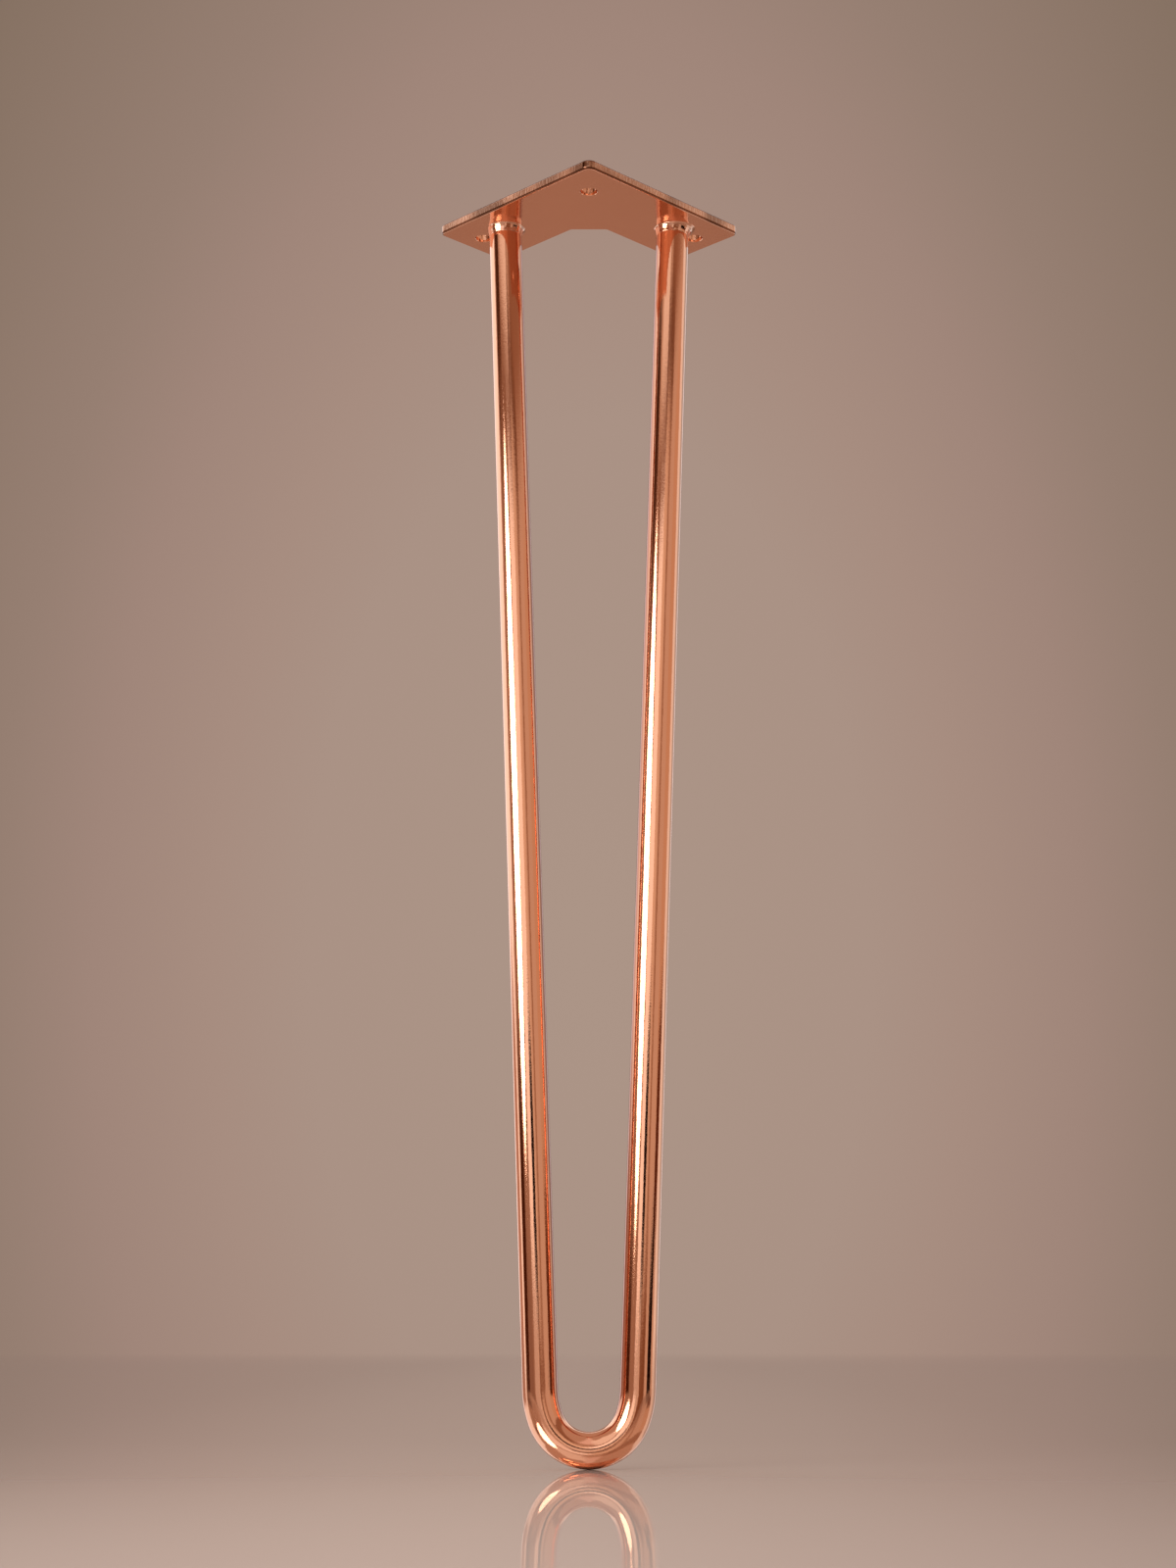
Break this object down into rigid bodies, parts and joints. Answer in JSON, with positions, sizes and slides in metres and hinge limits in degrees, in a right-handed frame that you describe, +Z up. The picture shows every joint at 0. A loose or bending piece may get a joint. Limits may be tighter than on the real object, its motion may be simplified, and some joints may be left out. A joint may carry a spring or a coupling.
{
  "type": "hairpin table leg",
  "caption": "Hairpin table leg: round bar bent into a narrow tapering U, welded to an L-shaped corner plate drilled for screws, polished copper plating.",
  "frame": {"origin": "centre of the corner screw hole, on the plate's top face that lies against the table", "axes": "+Z up through the plate into the table, the leg hangs down along -Z; -Y is towards the plate's outer corner, +X to the right seen from that corner; mirrored about the YZ plane"},
  "size_m": [0.1104, 0.0766, 0.45],
  "materials": {
    "copper_plate": "polished",
    "copper_rod": "polished",
    "copper_weld": "polished"
  },
  "bodies": {
    "root": {"mounting_plate": "copper_plate", "hairpin_rod": "copper_rod", "left_weld_bead": "copper_weld", "right_weld_bead": "copper_weld"}
  },
  "joints": []
}
